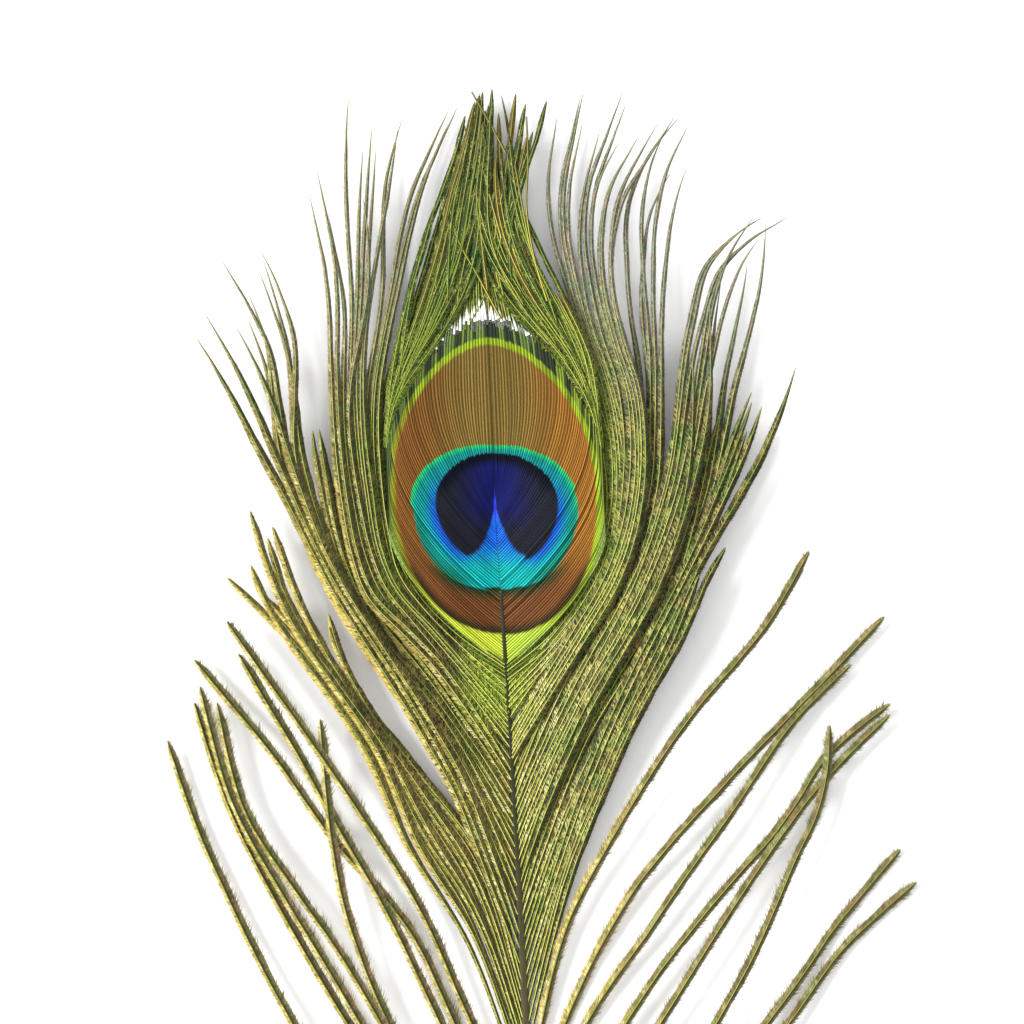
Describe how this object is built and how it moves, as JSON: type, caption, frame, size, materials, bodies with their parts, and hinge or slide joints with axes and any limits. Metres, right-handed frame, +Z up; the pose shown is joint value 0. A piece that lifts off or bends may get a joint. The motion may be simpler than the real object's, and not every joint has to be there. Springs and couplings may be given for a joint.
{
  "type": "peacock feather",
  "caption": "Cut peacock eye feather lying flat: a tapering shaft, a close-knit eye with a crown of loose tips, and long loose herls down both sides.",
  "frame": {"origin": "on the surface the feather lies on, under the flat underside of the shaft at the foot of the vane, where the bare quill ends", "axes": "+Y along the shaft from the quill to the eye, +Z up out of the front face, +X to the right of the eye"},
  "size_m": [0.1385, 0.2702, 0.0068],
  "materials": {
    "shaft_horn": "satin",
    "eye_barbs": "satin",
    "crown_barbs": "satin",
    "herl_barbs": "satin"
  },
  "bodies": {
    "root": {"crown_left": "crown_barbs", "crown_right": "crown_barbs", "crown_stray": "crown_barbs", "eye_left": "eye_barbs", "eye_right": "eye_barbs", "herl_left_03": "herl_barbs", "herl_left_04": "herl_barbs", "herl_left_14": "herl_barbs", "herl_left_15": "herl_barbs", "herl_left_16": "herl_barbs", "herl_left_17": "herl_barbs", "herl_left_18": "herl_barbs", "herl_left_19": "herl_barbs", "herl_left_20": "herl_barbs", "herl_left_21": "herl_barbs", "herl_left_22": "herl_barbs", "herl_right_02": "herl_barbs", "herl_right_04": "herl_barbs", "herl_right_13": "herl_barbs", "herl_right_14": "herl_barbs", "herl_right_15": "herl_barbs", "herl_right_16": "herl_barbs", "herl_right_17": "herl_barbs", "herl_right_18": "herl_barbs", "herl_right_19": "herl_barbs", "herl_right_20": "herl_barbs", "herl_right_21": "herl_barbs", "herl_right_22": "herl_barbs", "lock_left_01": "herl_barbs", "lock_left_02": "herl_barbs", "lock_left_05": "herl_barbs", "lock_left_06": "herl_barbs", "lock_left_07": "herl_barbs", "lock_left_08": "herl_barbs", "lock_left_09": "herl_barbs", "lock_left_10": "herl_barbs", "lock_left_11": "herl_barbs", "lock_left_12": "herl_barbs", "lock_left_13": "herl_barbs", "lock_right_01": "herl_barbs", "lock_right_03": "herl_barbs", "lock_right_05": "herl_barbs", "lock_right_06": "herl_barbs", "lock_right_07": "herl_barbs", "lock_right_08": "herl_barbs", "lock_right_09": "herl_barbs", "lock_right_10": "herl_barbs", "lock_right_11": "herl_barbs", "lock_right_12": "herl_barbs", "shaft": "shaft_horn", "shoulder_left": "crown_barbs", "shoulder_right": "crown_barbs"}
  },
  "joints": []
}
